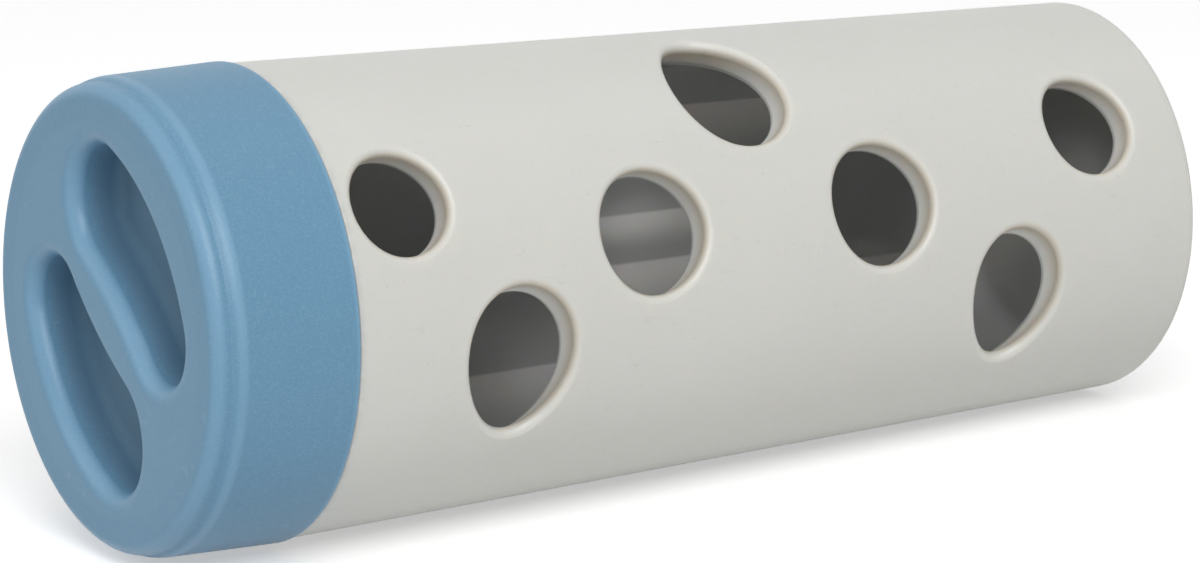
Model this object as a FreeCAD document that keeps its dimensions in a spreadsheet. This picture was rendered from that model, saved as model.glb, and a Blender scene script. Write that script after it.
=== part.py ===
import FreeCAD, Part
import math
import os
import Sketcher

# A treat roll: a tapered tube with one closed end and treat holes in one side, a twist-off cap on
# its open neck, and a seal ring between them. It lies on its side, its axis level along X, the cap
# towards -X. Z = 0 is under the cap's widest ring, below the middle of the length.
# Each piece is drawn in its own frame: X runs along the roll's axis from the cap's front face, and
# the Placement turns the piece about that axis and lifts it to where it lies.

Vector = FreeCAD.Vector

# Driving dimensions, in millimetres and degrees. A station is a distance from the cap's front face.
drivingSizes = {
    "toy_length": 148.7,
    "rim_radius": 30.0,
    "shoulder_radius": 29.7,
    "closed_end_radius": 26.45,
    "closed_end_thickness": 2.7,
    "closed_end_round": 1.1,
    "bore_mouth_radius": 25.95,
    "bore_end_radius": 22.35,
    "bore_corner_round": 2.0,
    "neck_station": 5.6,
    "neck_radius": 28.3,
    "joint_gap": 0.2,
    "shoulder_round": 0.25,
    "hole_turn": 66.0,
    "hole_round": 0.9,
    "hole_inner_round": 0.25,
    "cap_length": 19.1,
    "cap_turn": 40.4,
    "face_radius": 29.05,
    "face_height": 2.2,
    "face_round": 1.9,
    "ledge_station": 3.2,
    "ledge_radius": 29.62,
    "ledge_round": 4.0,
    "cap_rear_round": 0.2,
    "face_thickness": 2.5,
    "skirt_bore_radius": 28.55,
    "shelf_station": 4.0,
    "lip_radius": 26.85,
    "lip_inner_radius": 26.2,
    "lip_station": 5.3,
    "grip_top_across": 9.98,
    "grip_top_up": 10.13,
    "grip_top_radius": 7.42,
    "grip_low_across": 10.2,
    "grip_low_up": 9.49,
    "grip_low_radius": 6.19,
    "grip_outer_radius": 29.6,
    "grip_bar_radius": 58.0,
    "grip_depth": 7.2,
    "grip_draft": 3.0,
    "grip_wall": 1.8,
    "grip_mouth_round": 2.2,
    "grip_floor_round": 1.7,
    "thread_lead": 16.0,
    "groove_station": 0.8,
    "groove_floor_radius": 27.5,
    "groove_half_width": 1.25,
    "groove_flank": 0.5,
    "groove_run_out": 0.4,
    "lug_tip_radius": 27.75,
    "lug_half_width": 0.95,
    "lug_flank": 0.35,
    "lug_sweep": 30.0,
    "seal_inner_radius": 26.95,
    "seal_outer_radius": 28.35,
    "seal_front_station": 4.05,
    "seal_rear_station": 5.5,
    "seal_round": 0.3,
}

# The treat holes, cut square to one mould direction: station, offset round the tube from the
# middle of that side, and cut radius.
treatHoles = [
    (27.7, 4.3, 6.5),
    (42.5, -14.8, 7.6),
    (62.6, -2.6, 7.7),
    (80.9, 14.5, 7.8),
    (97.9, -2.6, 7.7),
    (119.2, -14.8, 6.9),
    (133.4, 4.3, 6.6),
]

doc = FreeCAD.newDocument("treat_roll")
sheet = doc.addObject("Spreadsheet::Sheet", "Sizes")


# The sheet
def fillSheet():
    """Put the driving dimensions into the sheet, one named cell each."""
    rows = dict(drivingSizes)
    for number, (station, offset, radius) in enumerate(treatHoles, start=1):
        rows["hole%d_station" % number] = station
        rows["hole%d_offset" % number] = offset
        rows["hole%d_radius" % number] = radius
    for row, (alias, number) in enumerate(rows.items(), start=1):
        sheet.set("A%d" % row, alias)
        sheet.set("B%d" % row, str(number))
        sheet.setAlias("B%d" % row, alias)
    doc.recompute()


def value(expression):
    """The number that an expression on the sheet gives now."""
    return float(sheet.evalExpression(expression))


# Sketch and feature helpers
def originFeature(body, role):
    return next(item for item in body.Origin.OriginFeatures if item.Role == role)


def newBody(name, turn):
    """A body whose frame is turned about the roll's axis and lifted to where it lies."""
    body = doc.addObject("PartDesign::Body", name)
    body.Label = name
    body.Placement = FreeCAD.Placement(Vector(), FreeCAD.Rotation(Vector(1, 0, 0), value(turn)))
    body.setExpression("Placement.Base.x", "-Sizes.toy_length / 2")
    body.setExpression("Placement.Base.z", "Sizes.rim_radius")
    body.setExpression("Placement.Rotation.Angle", turn)
    return body


def newSketch(body, name, plane="XY_Plane", lift=None):
    """A sketch on one of the body's own planes, lifted off it along its normal if asked."""
    sketch = body.newObject("Sketcher::SketchObject", name)
    sketch.AttachmentSupport = [(originFeature(body, plane), "")]
    sketch.MapMode = "FlatFace"
    if lift is not None:
        sketch.setExpression("AttachmentOffset.Base.z", lift)
    return sketch


def bind(sketch, constraint, name, expression):
    """Add a dimension whose value follows the sheet."""
    index = sketch.addConstraint(constraint)
    sketch.renameConstraint(index, name)
    sketch.setExpression("Constraints." + name, expression)


def placePoint(sketch, geometry, point, name, across, up):
    """Hold a point of the geometry at two expressions; "0" puts it on the axis."""
    for kind, axis, expression in (("DistanceX", -2, across), ("DistanceY", -1, up)):
        if expression == "0":
            sketch.addConstraint(Sketcher.Constraint("PointOnObject", geometry, point, axis))
            continue
        constraint = Sketcher.Constraint(kind, -1, 1, geometry, point, value(expression))
        bind(sketch, constraint, "%s_%s" % (name, kind[-1].lower()), expression)


def outline(sketch, corners):
    """A closed outline of straight runs through corners given as pairs of expressions."""
    points = [Vector(value(across), value(up), 0) for across, up in corners]
    runs = [Part.LineSegment(start, points[(n + 1) % len(points)]) for n, start in enumerate(points)]
    sketch.addGeometry(runs, False)
    for n in range(len(runs)):
        following = (n + 1) % len(runs)
        sketch.addConstraint(Sketcher.Constraint("Coincident", n, 2, following, 1))
    for n, (across, up) in enumerate(corners):
        placePoint(sketch, n, 1, "corner%d" % n, across, up)


def feature(body, kind, name, sketch=None, **settings):
    """Add a feature; a text setting is an expression on the sheet."""
    item = body.newObject("PartDesign::" + kind, name)
    if sketch is not None:
        item.Profile = sketch
        sketch.Visibility = False
    for key, setting in settings.items():
        if isinstance(setting, str):
            item.setExpression(key, setting)
        else:
            setattr(item, key, setting)
    doc.recompute()
    return item


def revolve(body, name, corners):
    sketch = newSketch(body, name + "_profile")
    outline(sketch, corners)
    axis = (originFeature(body, "X_Axis"), [""])
    return feature(body, "Revolution", name, sketch, ReferenceAxis=axis, Angle=360.0)


def helix(body, kind, name, corners, rise):
    """A thread form that climbs right-handed along X from where it is drawn."""
    sketch = newSketch(body, name + "_profile")
    outline(sketch, corners)
    axis = (originFeature(body, "X_Axis"), [""])
    return feature(body, kind, name, sketch, ReferenceAxis=axis, HasBeenEdited=True,
                   Pitch="Sizes.thread_lead", Height=rise)


def twice(body, name, originals):
    """Repeat features on the opposite side of the roll's axis."""
    axis = (originFeature(body, "X_Axis"), [""])
    pattern = feature(body, "PolarPattern", name, Originals=originals, Axis=axis, Angle=360.0,
                      Occurrences=2)
    body.Tip = pattern
    doc.recompute()
    return pattern


def dress(body, kind, name, size, test):
    """Round or chamfer the edges of the body so far that pass a test."""
    base = body.Tip
    edges = ["Edge%d" % n for n, edge in enumerate(base.Shape.Edges, start=1) if test(edge)]
    if not edges:
        raise RuntimeError("no edge for " + name)
    return feature(body, kind, name, Base=(base, edges), **size)


def radiusAt(point):
    """Distance from the roll's axis, in a piece's own frame."""
    return math.hypot(point.y, point.z)


def ringEdge(station, radius):
    """A test for the round edge about the axis at a station and radius."""
    def test(edge):
        if not isinstance(edge.Curve, Part.Circle):
            return False
        onAxis = radiusAt(edge.Curve.Center) < 0.01
        atStation = abs(edge.Curve.Center.x - value(station)) < 0.01
        return onAxis and atStation and abs(edge.Curve.Radius - value(radius)) < 0.01
    return test


def flatEdge(station, reach):
    """A test for the edges that lie in one plane square to the axis, within a reach of it."""
    def test(edge):
        box = edge.BoundBox
        flat = abs(box.XMin - value(station)) < 0.01 and abs(box.XMax - value(station)) < 0.01
        return flat and max(radiusAt(vertex.Point) for vertex in edge.Vertexes) < value(reach)
    return test


# The tube: neck, tapered wall and closed end, with its treat holes
def taper(start, startRadius, end, endRadius):
    """The radius along a cone between two stations, as a function of the station."""
    stations = value(start), value(end)
    radii = value(startRadius), value(endRadius)
    slope = (radii[1] - radii[0]) / (stations[1] - stations[0])
    return lambda station: radii[0] + slope * (station - stations[0])


def holeEdge(coneRadius):
    """A test for a treat hole's edge on a cone: it runs on the cone, not round the axis."""
    def test(edge):
        if isinstance(edge.Curve, (Part.Circle, Part.Line)):
            return False
        first, last = edge.ParameterRange
        points = [edge.valueAt(first + share * (last - first)) for share in (0.1, 0.35, 0.6, 0.85)]
        return all(abs(radiusAt(point) - coneRadius(point.x)) < 0.02 for point in points)
    return test


def makeTube():
    body = newBody("tube", "Sizes.hole_turn")
    shoulder = "Sizes.cap_length + Sizes.joint_gap"
    floorStation = "Sizes.toy_length - Sizes.closed_end_thickness"
    revolve(body, "tube_wall", [
        ("Sizes.neck_station", "Sizes.bore_mouth_radius"),
        ("Sizes.neck_station", "Sizes.neck_radius"),
        (shoulder, "Sizes.neck_radius"),
        (shoulder, "Sizes.shoulder_radius"),
        ("Sizes.toy_length", "Sizes.closed_end_radius"),
        ("Sizes.toy_length", "0"),
        (floorStation, "0"),
        (floorStation, "Sizes.bore_end_radius"),
    ])
    cutTreatHoles(body)
    cutGrooves(body, shoulder)
    wall = taper(shoulder, "Sizes.shoulder_radius", "Sizes.toy_length", "Sizes.closed_end_radius")
    bore = taper("Sizes.neck_station", "Sizes.bore_mouth_radius", floorStation,
                 "Sizes.bore_end_radius")
    dress(body, "Fillet", "hole_rounds", {"Radius": "Sizes.hole_round"}, holeEdge(wall))
    dress(body, "Fillet", "hole_inner_rounds", {"Radius": "Sizes.hole_inner_round"}, holeEdge(bore))
    dress(body, "Fillet", "closed_end_round", {"Radius": "Sizes.closed_end_round"},
          ringEdge("Sizes.toy_length", "Sizes.closed_end_radius"))
    dress(body, "Fillet", "bore_corner", {"Radius": "Sizes.bore_corner_round"},
          ringEdge(floorStation, "Sizes.bore_end_radius"))
    dress(body, "Fillet", "shoulder_round", {"Radius": "Sizes.shoulder_round"},
          ringEdge(shoulder, "Sizes.shoulder_radius"))
    return body


def cutTreatHoles(body):
    sketch = newSketch(body, "treat_holes_plan")
    for number in range(1, len(treatHoles) + 1):
        station = "Sizes.hole%d_station" % number
        offset = "Sizes.hole%d_offset" % number
        radius = "Sizes.hole%d_radius" % number
        centre = Vector(value(station), value(offset), 0)
        circle = sketch.addGeometry(Part.Circle(centre, Vector(0, 0, 1), value(radius)), False)
        placePoint(sketch, circle, 3, "hole%d" % number, station, offset)
        bind(sketch, Sketcher.Constraint("Radius", circle, value(radius)), "radius%d" % number, radius)
    before = body.Shape.Volume
    feature(body, "Pocket", "treat_holes", sketch, Reversed=True, Length="Sizes.rim_radius")
    if body.Shape.Volume > before - 1:
        raise RuntimeError("the treat holes cut nothing")


def cutGrooves(body, shoulder):
    """Two thread grooves in the neck, from its rim to just past where the cap's lugs stop."""
    station = "Sizes.groove_station"
    halfWidth = "Sizes.groove_half_width"
    mouthHalf = "(Sizes.groove_half_width + Sizes.groove_flank)"
    outside = "Sizes.skirt_bore_radius"
    lugEnd = "(%s + Sizes.thread_lead * Sizes.lug_sweep / 360)" % lugStation()
    rise = "%s + Sizes.groove_run_out - %s" % (lugEnd, station)
    groove = helix(body, "SubtractiveHelix", "thread_groove", [
        ("%s - %s" % (station, halfWidth), "Sizes.groove_floor_radius"),
        ("%s + %s" % (station, halfWidth), "Sizes.groove_floor_radius"),
        ("%s + %s" % (station, mouthHalf), outside),
        ("%s - %s" % (station, mouthHalf), outside),
    ], rise)
    twice(body, "thread_grooves", [groove])


def lugStation():
    """Where a lug starts: on the groove's helix, seen from the cap's own turned frame."""
    return ("(Sizes.groove_station + Sizes.thread_lead"
            " * (360 + Sizes.cap_turn - Sizes.hole_turn) / 360)")


# The cap: face with two finger recesses either side of a bar, skirt over the neck, thread lugs
def sharedCentre(first, second, firstReach, secondReach):
    """The point below two points, first to second rightwards, at a reach from each of them."""
    along = second - first
    span = along.Length
    foot = (firstReach ** 2 - secondReach ** 2 + span ** 2) / (2 * span)
    drop = math.sqrt(firstReach ** 2 - foot ** 2)
    along.normalize()
    return first + along * foot + Vector(along.y, -along.x, 0) * drop


def gripOutline(sketch, growth):
    """A bean: a large and a small round end, a long outer arc, and one bowed in by the bar."""
    grow = " + " + growth
    radii = {
        "low": "Sizes.grip_low_radius" + grow,
        "outer": "Sizes.grip_outer_radius" + grow,
        "top": "Sizes.grip_top_radius" + grow,
        "bar": "Sizes.grip_bar_radius - " + growth,
    }
    size = {name: value(radius) for name, radius in radii.items()}
    low = Vector(-value("Sizes.grip_low_across"), value("Sizes.grip_low_up"), 0)
    top = Vector(value("Sizes.grip_top_across"), value("Sizes.grip_top_up"), 0)
    outer = sharedCentre(low, top, size["outer"] - size["low"], size["outer"] - size["top"])
    bar = sharedCentre(low, top, size["bar"] + size["low"], size["bar"] + size["top"])

    def bearing(start, end):
        return math.atan2(end.y - start.y, end.x - start.x)

    def arc(name, centre, first, last):
        return Part.ArcOfCircle(Part.Circle(centre, Vector(0, 0, 1), size[name]), first, last)

    outerTop, outerLow = bearing(outer, top), bearing(outer, low)
    barTop, barLow = bearing(bar, top), bearing(bar, low)
    sketch.addGeometry([
        arc("top", top, barTop - math.pi, outerTop),
        arc("outer", outer, outerTop, outerLow),
        arc("low", low, outerLow, barLow + math.pi),
        arc("bar", bar, barTop, barLow),
    ], False)
    for join in ((0, 2, 1, 1), (1, 2, 2, 1), (2, 2, 3, 2), (3, 1, 0, 1)):
        sketch.addConstraint(Sketcher.Constraint("Tangent", *join))
    for n, name in enumerate(("top", "outer", "low", "bar")):
        bind(sketch, Sketcher.Constraint("Radius", n, size[name]), name + "_radius", radii[name])
    placePoint(sketch, 0, 3, "top", "Sizes.grip_top_across", "Sizes.grip_top_up")
    placePoint(sketch, 2, 3, "low", "-Sizes.grip_low_across", "Sizes.grip_low_up")


def makeCap():
    body = newBody("cap", "Sizes.cap_turn")
    revolve(body, "cap_wall", [
        ("0", "0"),
        ("0", "Sizes.face_radius"),
        ("Sizes.face_height", "Sizes.face_radius"),
        ("Sizes.ledge_station", "Sizes.ledge_radius"),
        ("Sizes.cap_length", "Sizes.rim_radius"),
        ("Sizes.cap_length", "Sizes.skirt_bore_radius"),
        ("Sizes.shelf_station", "Sizes.skirt_bore_radius"),
        ("Sizes.shelf_station", "Sizes.lip_radius"),
        ("Sizes.lip_station", "Sizes.lip_radius"),
        ("Sizes.lip_station", "Sizes.lip_inner_radius"),
        ("Sizes.face_thickness", "Sizes.lip_inner_radius"),
        ("Sizes.face_thickness", "0"),
    ])
    originals = addGrip(body) + [addLug(body)]
    twice(body, "grips_and_lugs", originals)
    dress(body, "Fillet", "grip_mouth_rounds", {"Radius": "Sizes.grip_mouth_round"},
          flatEdge("0", "Sizes.lip_inner_radius"))
    dress(body, "Fillet", "grip_floor_rounds", {"Radius": "Sizes.grip_floor_round"},
          flatEdge("Sizes.grip_depth", "Sizes.lip_inner_radius"))
    dress(body, "Fillet", "face_round", {"Radius": "Sizes.face_round"},
          ringEdge("0", "Sizes.face_radius"))
    dress(body, "Fillet", "ledge_round", {"Radius": "Sizes.ledge_round"},
          ringEdge("Sizes.ledge_station", "Sizes.ledge_radius"))
    dress(body, "Fillet", "cap_rear_round", {"Radius": "Sizes.cap_rear_round"},
          ringEdge("Sizes.cap_length", "Sizes.rim_radius"))
    return body


def addGrip(body):
    """One finger recess: a walled cup behind the face, then the hollow cut into it."""
    shellPlan = newSketch(body, "grip_shell_plan", "YZ_Plane", "Sizes.face_thickness / 2")
    gripOutline(shellPlan, "Sizes.grip_wall")
    shell = feature(body, "Pad", "grip_shell", shellPlan,
                    Length="Sizes.grip_depth + Sizes.grip_wall - Sizes.face_thickness / 2")
    hollowPlan = newSketch(body, "grip_plan", "YZ_Plane")
    gripOutline(hollowPlan, "0")
    before = body.Shape.Volume
    hollow = feature(body, "Pocket", "grip_hollow", hollowPlan, Reversed=True,
                     Length="Sizes.grip_depth", TaperAngle="-Sizes.grip_draft")
    if body.Shape.Volume > before - 1:
        raise RuntimeError("the finger recess cut nothing")
    return [shell, hollow]


def addLug(body):
    """A short piece of thread inside the skirt that rides in a groove of the neck."""
    halfWidth = "Sizes.lug_half_width"
    rootHalf = "(Sizes.lug_half_width + Sizes.lug_flank)"
    rootRadius = "(Sizes.skirt_bore_radius + Sizes.ledge_radius) / 2"
    station = lugStation()
    return helix(body, "AdditiveHelix", "thread_lug", [
        ("%s - %s" % (station, halfWidth), "Sizes.lug_tip_radius"),
        ("%s + %s" % (station, halfWidth), "Sizes.lug_tip_radius"),
        ("%s + %s" % (station, rootHalf), rootRadius),
        ("%s - %s" % (station, rootHalf), rootRadius),
    ], "Sizes.thread_lead * Sizes.lug_sweep / 360")


# The seal ring: it lies round the cap's inner lip and closes on the neck's rim
def makeSeal():
    body = newBody("seal_ring", "Sizes.cap_turn")
    revolve(body, "seal_section", [
        ("Sizes.seal_front_station", "Sizes.seal_inner_radius"),
        ("Sizes.seal_front_station", "Sizes.seal_outer_radius"),
        ("Sizes.seal_rear_station", "Sizes.seal_outer_radius"),
        ("Sizes.seal_rear_station", "Sizes.seal_inner_radius"),
    ])
    dress(body, "Fillet", "seal_rounds", {"Radius": "Sizes.seal_round"}, lambda edge: True)
    return body


def writePieces(pieces):
    """Check the whole document and write one file per piece, named after it."""
    doc.recompute()
    for item in doc.Objects:
        if "Invalid" in item.State or "Error" in item.State:
            raise RuntimeError("%s failed: %s" % (item.Name, item.State))
    for piece in pieces:
        shape = piece.Shape
        if shape.isNull() or not shape.isValid() or len(shape.Solids) != 1:
            raise RuntimeError("bad shape: " + piece.Label)
    os.makedirs("parts", exist_ok=True)
    for piece in pieces:
        piece.Shape.exportStep("parts/%s.step" % piece.Label)
        box = piece.Shape.BoundBox
        print(piece.Label, "volume %.0f mm3" % piece.Shape.Volume,
              "x %.2f to %.2f, y %.2f to %.2f, z %.2f to %.2f"
              % (box.XMin, box.XMax, box.YMin, box.YMax, box.ZMin, box.ZMax))


fillSheet()
writePieces([makeTube(), makeCap(), makeSeal()])
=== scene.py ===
import math
import bpy
import bmesh
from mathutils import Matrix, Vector

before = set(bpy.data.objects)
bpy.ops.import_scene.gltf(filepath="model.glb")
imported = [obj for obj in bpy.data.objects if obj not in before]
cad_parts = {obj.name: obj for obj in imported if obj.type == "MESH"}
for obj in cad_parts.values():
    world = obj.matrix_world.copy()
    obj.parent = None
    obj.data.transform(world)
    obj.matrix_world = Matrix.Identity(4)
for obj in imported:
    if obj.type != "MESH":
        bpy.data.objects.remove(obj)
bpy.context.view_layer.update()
print("frame loaded")

scene = bpy.context.scene
scene.view_settings.view_transform = "Standard"
mm = 0.001


# Where things are on the roll, in millimetres: a station is a distance from the cap's front face
roll = {
    "frontStation": 74.35,  # from the cap's face to the middle of the length
    "axisHeight": 30.0,
    "holeTurn": 66.0,  # degrees from the side of the treat holes to straight up
    "shoulderStation": 19.3,
    "shoulderRadius": 29.7,
    "endStation": 148.7,
    "endRadius": 26.45,
    "recessRadius": (25, 24),  # the recesses lie within these, the cap's rim outside them
    "treatHoles": [  # station, offset round the tube, radius
        (27.7, 4.3, 6.5),
        (42.5, -14.8, 7.6),
        (62.6, -2.6, 7.7),
        (80.9, 14.5, 7.8),
        (97.9, -2.6, 7.7),
        (119.2, -14.8, 6.9),
        (133.4, 4.3, 6.6),
    ],
}


def sRgb(red, green, blue):
    channels = [c / 255 / 12.92 if c <= 10 else ((c / 255 + 0.055) / 1.055) ** 2.4
                for c in (red, green, blue)]
    return (*channels, 1)


# Shader nodes: a Wire is one output socket, a Bench is the node tree of one material or world
class Wire:
    def __init__(self, bench, socket):
        self.bench = bench
        self.socket = socket

    def maths(self, operation, *values):
        return self.bench.node("ShaderNodeMath", {"operation": operation}, dict(enumerate(values)))

    def __add__(self, other):
        return self.maths("ADD", self, other)

    def __radd__(self, other):
        return self.maths("ADD", other, self)

    def __sub__(self, other):
        return self.maths("SUBTRACT", self, other)

    def __rsub__(self, other):
        return self.maths("SUBTRACT", other, self)

    def __mul__(self, other):
        return self.maths("MULTIPLY", self, other)

    def __rmul__(self, other):
        return self.maths("MULTIPLY", other, self)

    def root(self):
        return self.maths("SQRT", self)

    def lowest(self, other):
        return self.maths("MINIMUM", self, other)

    def highest(self, other):
        return self.maths("MAXIMUM", self, other)

    def rise(self, low, high):
        # 0 below low, 1 above high, smooth between; low above high turns it round
        settings = {"interpolation_type": "SMOOTHSTEP"}
        return self.bench.node("ShaderNodeMapRange", settings, {0: self, 1: low, 2: high})

    def band(self, low, high, edge):
        return self.rise(low - edge, low + edge) * self.rise(high + edge, high - edge)


class Bench:
    def __init__(self, owner):
        owner.use_nodes = True
        self.tree = owner.node_tree

    def node(self, kind, settings=None, inputs=None, outlet=0):
        node = self.tree.nodes.new(kind)
        for key, setting in (settings or {}).items():
            setattr(node, key, setting)
        for key, entry in (inputs or {}).items():
            self.feed(node.inputs[key], entry)
        return Wire(self, node.outputs[outlet])

    def feed(self, socket, entry):
        if isinstance(entry, Wire):
            self.tree.links.new(entry.socket, socket)
        else:
            socket.default_value = entry

    def place(self, scale=(1, 1, 1), turn=(0, 0, 0)):
        # Millimetres from the roll's axis, with X as the station, then stretched for a pattern
        spot = self.node("ShaderNodeTexCoord", outlet="Object")
        spot = self.node("ShaderNodeMapping", None, {
            "Vector": spot,
            "Location": (roll["frontStation"], 0, -roll["axisHeight"]),
            "Scale": (1 / mm, 1 / mm, 1 / mm),
        })
        stretched = {"Vector": spot, "Rotation": turn, "Scale": scale}
        return self.node("ShaderNodeMapping", None, stretched)

    def split(self, vector):
        parts = self.node("ShaderNodeSeparateXYZ", None, {0: vector}).socket.node
        return [Wire(self, output) for output in parts.outputs]

    def noise(self, vector, scale, detail=2.0, roughness=0.5):
        values = {"Vector": vector, "Scale": scale, "Detail": detail, "Roughness": roughness}
        return self.node("ShaderNodeTexNoise", None, values)

    def blend(self, share, start, end, mode="MIX"):
        settings = {"data_type": "RGBA", "blend_type": mode, "clamp_factor": True}
        return self.node("ShaderNodeMix", settings, {0: share, 6: start, 7: end}, outlet=2)

    def bump(self, height, distance, under=None):
        inputs = {"Height": height, "Distance": distance * mm, "Strength": 1.0}
        if under is not None:
            inputs["Normal"] = under
        return self.node("ShaderNodeBump", None, inputs)


def newMaterial(name):
    material = bpy.data.materials.new(name)
    bench = Bench(material)
    shader = material.node_tree.nodes["Principled BSDF"]
    return material, bench, shader


def outerRadius(station):
    # Radius of the tube's tapered wall, from numbers or from a wire
    length = roll["endStation"] - roll["shoulderStation"]
    slope = (roll["endRadius"] - roll["shoulderRadius"]) / length
    return station * slope + (roll["shoulderRadius"] - slope * roll["shoulderStation"])


# Fine straight marks, in patches
scratchLook = {"patchScale": 0.11, "patchRange": (0.45, 0.62)}


def scratches(bench, marks):
    # Each mark has a stretch of its noise, a turn, the range where it starts, and a strength
    total = None
    for stretch, turn, startRange, strength in marks:
        lines = bench.noise(bench.place(stretch, turn), 1.0, 1.0)
        patches = bench.noise(bench.place(turn=turn), scratchLook["patchScale"], 1.0)
        part = lines.rise(*startRange) * patches.rise(*scratchLook["patchRange"]) * strength
        total = part if total is None else total + part
    return total.lowest(1)


# Tube: off-white moulded plastic, satin outside, smooth and glossier in the bore
tubeLook = {
    "colour": sRgb(217, 217, 212),
    "rimShadeAndLipHighlightColour": sRgb(214, 213, 207),  # painted shade on the holes' outer rounds, and a painted highlight line at their inner edges
    "edgeColour": sRgb(200, 193, 179),  # painted warm shade where the rims turn into the holes
    "litWallColour": sRgb(245, 244, 239),  # painted light: the holes' walls, lighter than the plastic outside
    # painted shade: the bore darker than the plastic outside
    "boreShadeColour": sRgb(204, 205, 203),
    "sheenColour": sRgb(254, 254, 252),
    # Lighter bands along the bore, painted where the photo shows them through the holes: first and
    # last station, lowest and highest angle
    "sheens": [
        (48, 82, -70, -48),
        (82, 104, -14, -2),
        (82, 106, -36, -18),
        (88, 118, 8, 38),
        (120, 146, -62, -27),
    ],
    "sheenFade": 4.0,  # how softly a band ends along the bore, in mm
    "sheenEdge": 0.02,  # how softly it starts at its upper edge, in radians
    "shadeColour": (0.62, 0.61, 0.57, 1),
    "shadeShare": 0.10,
    "cloudShare": 0.5,  # of the shade; the rest is mottle
    "scuffColour": sRgb(192, 191, 185),
    "scuffShare": 0.22,
    "scuffRoughness": 0.08,
    "dirtColour": sRgb(176, 172, 162),
    "speckShare": 0.22,
    "shoulderShare": 0.35,  # the tube darker, in mottled patches, next to the cap
    "endShare": 0.25,  # dirt at the closed end's edge
    "roughness": 0.40,
    "borePolish": 0.25,  # how much smoother the bore is
    "rimPolish": 0.05,
    "unevenRoughness": 0.12,
    "boreUneven": 0.3,  # the share of that unevenness left in the bore
    "grain": 0.010,  # height of the fine grain in mm
    "boreGrain": 0.2,  # the share of the grain left inside
    "wave": 0.05,  # height of the moulding's slow waves in mm
    "scuffDepth": 0.006,
    "glowWeight": 0.7,  # light that spreads inside the plastic
    "glowReach": (0.0022, 0.0018, 0.0013),
    # Ranges in mm, of the depth below the outside and of the distance outside the nearest hole
    "endDepth": 1.6,  # the closed end is thinner than the wall, so its depth counts for more
    "insideDepth": (0.5, 1.4),
    "boreDepth": (3.4, 3.9),
    "edgeDepth": (3.2, 0.5),
    "lipDepth": (3.5, 4.2, 0.15),
    "rimReach": (1.0, 0.5),
    "edgeReach": (0.6, -0.1),
    "lipReach": (0.5, 0.1),
    "wallReach": (2.0, 1.0),
    "shoulderReach": (1.1, 0),
    "endReach": (-1.6, -0.4),
    # Noises: scale per mm, detail, roughness
    "cloudNoise": (0.045, 3.0),
    "mottleNoise": (0.6, 3.0, 0.6),
    "speckNoise": (1.9, 0.0),
    "grainNoise": (2.6, 2.0, 0.6),
    "waveNoise": (0.14, 1.0),
    "cloudRange": (0.25, 0.75),
    "speckRange": (0.82, 0.86),
    "shoulderPatchRange": (0.3, 0.7),
    "scratches": [
        ((7, 0.35, 0.35), (0, 0, 0), (0.66, 0.72), 1.0),
        ((0.35, 6, 0.35), (0.5, 0.4, 0.9), (0.69, 0.74), 0.8),
        ((0.12, 5, 5), (0, 0, 0.1), (0.70, 0.74), 1.0),
    ],
}
farAway = 100  # mm, for points that no hole is near


def mixedShade(clouds, mottle, look):
    return clouds.rise(*look["cloudRange"]) * look["cloudShare"] + mottle * (1 - look["cloudShare"])


def holeDistance(bench):
    # How far a point on the holes' side is outside the nearest treat hole, square to its cut
    station, across, height = bench.split(bench.place())
    lean = math.radians(roll["holeTurn"])
    offset = across * math.cos(lean) + height * math.sin(lean)
    facing = height * math.cos(lean) - across * math.sin(lean)
    nearest = None
    for holeStation, holeOffset, holeRadius in roll["treatHoles"]:
        along = station - holeStation
        aside = offset - holeOffset
        distance = (along * along + aside * aside).root() - holeRadius
        nearest = distance if nearest is None else nearest.lowest(distance)
    return nearest + facing.rise(1, -1) * farAway


def boreSheen(station, around):
    # Each band is sharp at its upper edge and fades away below it
    sheen = None
    for first, last, low, high in tubeLook["sheens"]:
        top = math.radians(high)
        fade = around.rise(math.radians(low), top) * around.rise(top + tubeLook["sheenEdge"], top)
        part = fade * station.band(first, last, tubeLook["sheenFade"])
        sheen = part if sheen is None else sheen.highest(part)
    return sheen


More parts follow.
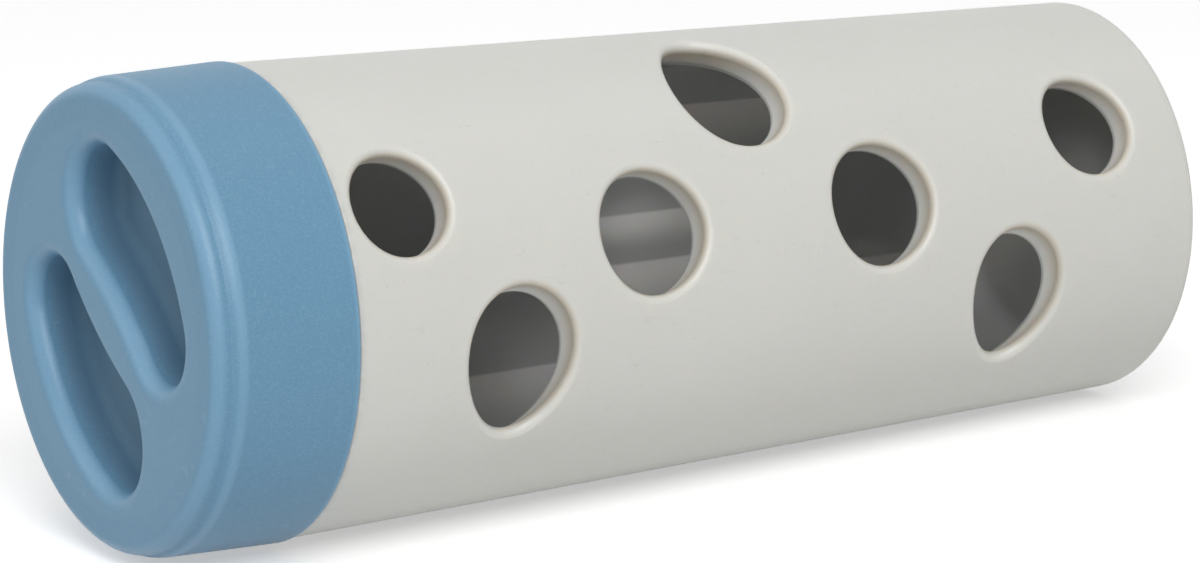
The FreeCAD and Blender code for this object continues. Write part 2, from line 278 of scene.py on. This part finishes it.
def makeTubePlastic():
    look = tubeLook
    material, bench, shader = newMaterial("tubePlastic")
    station, across, height = bench.split(bench.place())
    radius = (across * across + height * height).root()
    fromEnd = roll["endStation"] - station
    # Below the outer wall, or below the closed end's face where that is nearer
    depth = (outerRadius(station) - radius).lowest(fromEnd * look["endDepth"])
    inside = depth.rise(*look["insideDepth"])
    outside = 1 - inside
    bore = depth.rise(*look["boreDepth"])
    beside = holeDistance(bench)
    rim = beside.rise(*look["rimReach"]) * outside
    edge = beside.rise(*look["edgeReach"]) * depth.rise(*look["edgeDepth"])
    lip = depth.band(*look["lipDepth"]) * beside.rise(*look["lipReach"])
    wall = inside * beside.rise(*look["wallReach"])
    sheen = boreSheen(station, height.maths("ARCTAN2", height, across)) * bore
    clouds = bench.noise(bench.place(), *look["cloudNoise"])
    mottle = bench.noise(bench.place(), *look["mottleNoise"])
    specks = bench.noise(bench.place(), *look["speckNoise"]).rise(*look["speckRange"]) * outside
    scuffs = scratches(bench, look["scratches"]) * outside
    shoulder = station.rise(*(roll["shoulderStation"] + reach for reach in look["shoulderReach"]))
    endEdge = station.rise(*(roll["endStation"] + reach for reach in look["endReach"]))
    shoulderDarkening = shoulder * outside * mottle.rise(*look["shoulderPatchRange"]) * look["shoulderShare"]
    endDirt = endEdge * outside * clouds * look["endShare"]

    # painted light: the holes' walls lighter than the plastic outside
    colour = bench.blend(wall, look["colour"], look["litWallColour"])
    # painted shade: the bore darker than the plastic outside
    colour = bench.blend(bore, colour, look["boreShadeColour"])
    colour = bench.blend(sheen, colour, look["sheenColour"])
    # painted shade on the holes' outer rounds, and a painted highlight line at their inner edges,
    # lighter than the bore
    colour = bench.blend(rim.highest(lip), colour, look["rimShadeAndLipHighlightColour"])
    # painted warm shade where the rims turn into the holes
    colour = bench.blend(edge, colour, look["edgeColour"])
    shade = mixedShade(clouds, mottle, look)
    colour = bench.blend(shade * look["shadeShare"], colour, look["shadeColour"], "MULTIPLY")
    colour = bench.blend(scuffs * look["scuffShare"], colour, look["scuffColour"])
    colour = bench.blend(specks * look["speckShare"], colour, look["dirtColour"])
    # in the dirt colour: the tube darker in patches next to the cap, and dirt at the closed end's
    # edge
    colour = bench.blend(shoulderDarkening + endDirt, colour, look["dirtColour"])
    bench.feed(shader.inputs["Base Color"], colour)

    shader.inputs["Subsurface Weight"].default_value = look["glowWeight"]
    shader.inputs["Subsurface Radius"].default_value = look["glowReach"]
    shader.inputs["Subsurface Scale"].default_value = 1.0

    polish = bore * look["borePolish"] + rim * look["rimPolish"]
    uneven = (mottle - 0.5) * (1 - bore * (1 - look["boreUneven"])) * look["unevenRoughness"]
    roughness = uneven + look["roughness"] - polish + scuffs * look["scuffRoughness"]
    bench.feed(shader.inputs["Roughness"], roughness)

    grain = bench.noise(bench.place(), *look["grainNoise"]) * (1 - inside * (1 - look["boreGrain"]))
    normal = bench.bump(grain, look["grain"])
    normal = bench.bump(bench.noise(bench.place(), *look["waveNoise"]), look["wave"], normal)
    normal = bench.bump(scuffs * -1, look["scuffDepth"], normal)
    bench.feed(shader.inputs["Normal"], normal)
    return material


# Cap: blue-grey plastic with a fine matte mould texture
capLook = {
    "colour": sRgb(102, 146, 175),
    "sparkColour": sRgb(128, 170, 197),  # the tips of the spark texture
    "sparkShare": 0.38,
    "shadeColour": (0.5, 0.56, 0.62, 1),
    "shadeShare": 0.14,
    "cloudShare": 0.4,
    "sunkShadeColour": sRgb(90, 119, 142),  # painted shade deep in the recesses
    "sunkShadeShare": 0.6,
    "sunkRoughness": 0.4,
    # rubbed edges and recess mouths, painted lighter also as a highlight on the rounds
    "wearAndHighlightColour": sRgb(130, 171, 200),
    "wearAndHighlightShare": 0.55,
    "wearAndHighlightLeast": 0.6,  # the rub and painted highlight left between its clouds
    "wornPolish": 0.1,
    "palmAndSheenColour": sRgb(112, 140, 158),  # greyed by fingers and painted with a grey sheen, on the recess floors
    "palmAndSheenShare": (0.2, 0.3),  # everywhere on a floor, and more in its clouds
    "scuffColour": sRgb(140, 168, 186),
    "scuffShare": 0.2,
    "scuffDepth": 0.006,
    "roughness": 0.45,
    "unevenRoughness": 0.1,
    "texture": 0.03,
    "wave": 0.05,
    "shine": 0.38,  # the shader's specular level
    "edges": [  # station and radius of the middle of a rubbed edge with a painted highlight, and how far both reach
        (0.6, 28.5, 1.5),
        (3.5, 29.6, 1.0),
        (19.1, 30.0, 0.8),
    ],
    "edgeCore": 0.2,  # the share of that reach that is fully rubbed and painted lighter
    # Stations in mm
    "mouthStations": (0.15, 2.0, 0.3),
    "sunkStations": (1.4, 4.5),
    "floorStations": (5.6, 7.0),
    # Noises: scale per mm, detail, roughness
    "mottleNoise": (1.1, 3.0, 0.65),
    "cloudNoise": (0.05, 2.0),
    "sparkNoise": (3.4, 3.0, 0.7),
    "waveNoise": (0.16, 1.0),
    "cloudRange": (0.25, 0.75),
    "wearAndHighlightRange": (0.2, 0.7),
    "palmAndSheenRange": (0.35, 0.6),
    "sparkRange": (0.45, 0.7),
    "scratches": [
        ((7, 0.4, 0.4), (0, 0, 0), (0.65, 0.71), 1.0),
        ((0.4, 6, 0.5), (0.7, 0.3, 0.5), (0.68, 0.73), 1.0),
    ],
}


def makeCapPlastic():
    look = capLook
    material, bench, shader = newMaterial("capPlastic")
    station, across, height = bench.split(bench.place())
    radius = (across * across + height * height).root()
    within = radius.rise(*roll["recessRadius"])
    mottle = bench.noise(bench.place(), *look["mottleNoise"])
    clouds = bench.noise(bench.place(), *look["cloudNoise"])
    spark = bench.noise(bench.place(), *look["sparkNoise"])
    wearAndHighlight = station.band(*look["mouthStations"]) * within  # the recesses' mouths
    for edgeStation, edgeRadius, reach in look["edges"]:
        along = station - edgeStation
        out = radius - edgeRadius
        away = (along * along + out * out).root()
        wearAndHighlight = wearAndHighlight.highest(away.rise(reach, reach * look["edgeCore"]))
    wearAndHighlight = wearAndHighlight * (clouds.rise(*look["wearAndHighlightRange"]) * (1 - look["wearAndHighlightLeast"]) + look["wearAndHighlightLeast"])
    sunk = station.rise(*look["sunkStations"]) * within
    floor = station.rise(*look["floorStations"]) * within
    scuffs = scratches(bench, look["scratches"]) * floor.rise(1, 0)

    tips = spark.rise(*look["sparkRange"]) * look["sparkShare"]
    shade = mixedShade(clouds, mottle, look)
    basePalmAndSheen, cloudPalmAndSheen = look["palmAndSheenShare"]
    palmAndSheen = floor * (clouds.rise(*look["palmAndSheenRange"]) * cloudPalmAndSheen + basePalmAndSheen)
    colour = bench.blend(tips, look["colour"], look["sparkColour"])
    colour = bench.blend(shade * look["shadeShare"], colour, look["shadeColour"], "MULTIPLY")
    # painted shade deep in the recesses
    colour = bench.blend(sunk * look["sunkShadeShare"], colour, look["sunkShadeColour"])
    # finger grey and a painted grey sheen on the recess floors
    colour = bench.blend(palmAndSheen, colour, look["palmAndSheenColour"])
    # rubbing and a painted highlight on the rounded edges and the recesses' mouths
    colour = bench.blend(wearAndHighlight * look["wearAndHighlightShare"], colour, look["wearAndHighlightColour"])
    colour = bench.blend(scuffs * look["scuffShare"], colour, look["scuffColour"])
    bench.feed(shader.inputs["Base Color"], colour)

    uneven = (mottle - 0.5) * look["unevenRoughness"]
    dull = sunk * look["sunkRoughness"] - wearAndHighlight * look["wornPolish"]
    bench.feed(shader.inputs["Roughness"], uneven + look["roughness"] + dull)
    shader.inputs["Specular IOR Level"].default_value = look["shine"]

    normal = bench.bump(spark, look["texture"])
    normal = bench.bump(bench.noise(bench.place(), *look["waveNoise"]), look["wave"], normal)
    normal = bench.bump(scuffs * -1, look["scuffDepth"], normal)
    bench.feed(shader.inputs["Normal"], normal)
    return material


# Seal ring: soft grey rubber, dull, with a dusty bloom
sealLook = {
    "colour": sRgb(148, 149, 147),
    "bloomColour": sRgb(172, 172, 168),
    "bloomShare": 0.6,
    "bloomNoise": (0.5, 3.0, 0.6),
    "bloomRange": (0.4, 0.7),
    "roughness": 0.52,  # where there is no bloom
    "bloomRoughness": 0.2,
    "grainNoise": (4.0, 2.0),
    "grain": 0.01,
}


def makeSealRubber():
    look = sealLook
    material, bench, shader = newMaterial("sealRubber")
    bloom = bench.noise(bench.place(), *look["bloomNoise"])
    share = bloom.rise(*look["bloomRange"]) * look["bloomShare"]
    bench.feed(shader.inputs["Base Color"], bench.blend(share, look["colour"], look["bloomColour"]))
    bench.feed(shader.inputs["Roughness"], bloom * look["bloomRoughness"] + look["roughness"])
    grain = bench.noise(bench.place(), *look["grainNoise"])
    bench.feed(shader.inputs["Normal"], bench.bump(grain, look["grain"]))
    return material


looks = {"tube": makeTubePlastic, "cap": makeCapPlastic, "seal_ring": makeSealRubber}
for nodeName, makeLook in looks.items():
    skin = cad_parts[nodeName].data
    skin.materials.clear()
    skin.materials.append(makeLook())
print("plastics and rubber made")


# Studio: white paper under the roll and a white surround, with large soft lamps
studio = {
    "dome": 0.15,
    "paperTilt": math.atan2(3.55, 128),  # the roll lies on its cap's rim and its closed end's edge
    "paperPlace": (-0.05525, 0, -0.0002),
    "paperSize": 4.0,  # half of its side, in metres
    "paperColour": (0.8, 0.8, 0.8, 1),
    "fibreColour": (0.7, 0.7, 0.7, 1),
    "fibreShare": 0.04,
    "fibreScale": 900.0,
    "paperRoughness": 0.9,
    "paperGlow": 0.45,
    "lamps": {  # place, size across and up, power
        "key": ((-0.45, -1.05, 0.95), (0.8, 0.8), 14.2),
        "side": ((-1.2, -0.6, 0.5), (0.9, 0.9), 1.0),
        "top": ((0.1, 0.15, 1.3), (1.6, 0.8), 3.6),
        "rear": ((-1.1, 0.5, 0.7), (0.9, 0.9), 2.9),
    },
}


def makeLamps():
    for name, (place, size, power) in studio["lamps"].items():
        data = bpy.data.lights.new(name, "AREA")
        data.shape = "RECTANGLE"
        data.size, data.size_y = size
        data.energy = power
        lamp = bpy.data.objects.new(name, data)
        lamp.location = place
        aim = Vector((0, 0, roll["axisHeight"] * mm)) - Vector(place)
        lamp.rotation_euler = aim.to_track_quat("-Z", "Y").to_euler()
        scene.collection.objects.link(lamp)


def backdropShare(bench):
    # 1 for what the camera, a reflection or glass sees, 0 for the light that falls on things
    rays = bench.node("ShaderNodeLightPath").socket.node.outputs
    seen = Wire(bench, rays["Is Camera Ray"]) + Wire(bench, rays["Is Glossy Ray"])
    return (seen + Wire(bench, rays["Is Transmission Ray"])).lowest(1)


def makeWorld():
    world = bpy.data.worlds.new("studio")
    scene.world = world
    bench = Bench(world)
    lit = world.node_tree.nodes["Background"]
    lit.inputs["Color"].default_value = (1, 1, 1, 1)
    lit.inputs["Strength"].default_value = studio["dome"]
    white = bench.node("ShaderNodeBackground", None, {"Color": (1, 1, 1, 1), "Strength": 1.0})
    mixed = bench.node("ShaderNodeMixShader", None, {
        0: backdropShare(bench), 1: Wire(bench, lit.outputs[0]), 2: white})
    bench.feed(world.node_tree.nodes["World Output"].inputs["Surface"], mixed)


def makePaper():
    bm = bmesh.new()
    bmesh.ops.create_grid(bm, x_segments=1, y_segments=1, size=studio["paperSize"])
    mesh = bpy.data.meshes.new("paper")
    bm.to_mesh(mesh)
    bm.free()
    paper = bpy.data.objects.new("paper", mesh)
    scene.collection.objects.link(paper)
    paper.rotation_euler = (0, -studio["paperTilt"], 0)
    paper.location = studio["paperPlace"]
    material, bench, shader = newMaterial("whitePaper")
    fibres = bench.noise(bench.node("ShaderNodeTexCoord", outlet="Object"), studio["fibreScale"])
    share = fibres * studio["fibreShare"]
    shade = bench.blend(share, studio["paperColour"], studio["fibreColour"])
    bench.feed(shader.inputs["Base Color"], shade)
    shader.inputs["Roughness"].default_value = studio["paperRoughness"]
    glow = bench.node("ShaderNodeEmission", None, {"Strength": studio["paperGlow"]})
    lit = bench.node("ShaderNodeAddShader", None, {0: Wire(bench, shader.outputs[0]), 1: glow})
    surface = bench.node("ShaderNodeMixShader", None, {
        0: backdropShare(bench), 1: Wire(bench, shader.outputs[0]), 2: lit})
    bench.feed(material.node_tree.nodes["Material Output"].inputs["Surface"], surface)
    mesh.materials.append(material)


# Camera: a long lens a little above the roll, on the side of the treat holes
camera = {
    "place": (-342.75, -535.0, 162.6),
    "look": (0.5246, 0.8252, -0.2097),
    "lens": 150.5,
    "sensor": 36.0,
}


def makeCamera():
    data = bpy.data.cameras.new("camera")
    data.lens = camera["lens"]
    data.sensor_width = camera["sensor"]
    view = bpy.data.objects.new("camera", data)
    view.location = Vector(camera["place"]) * mm
    view.rotation_euler = Vector(camera["look"]).to_track_quat("-Z", "Y").to_euler()
    scene.collection.objects.link(view)
    scene.camera = view


makeWorld()
makePaper()
makeLamps()
makeCamera()
print("studio set")
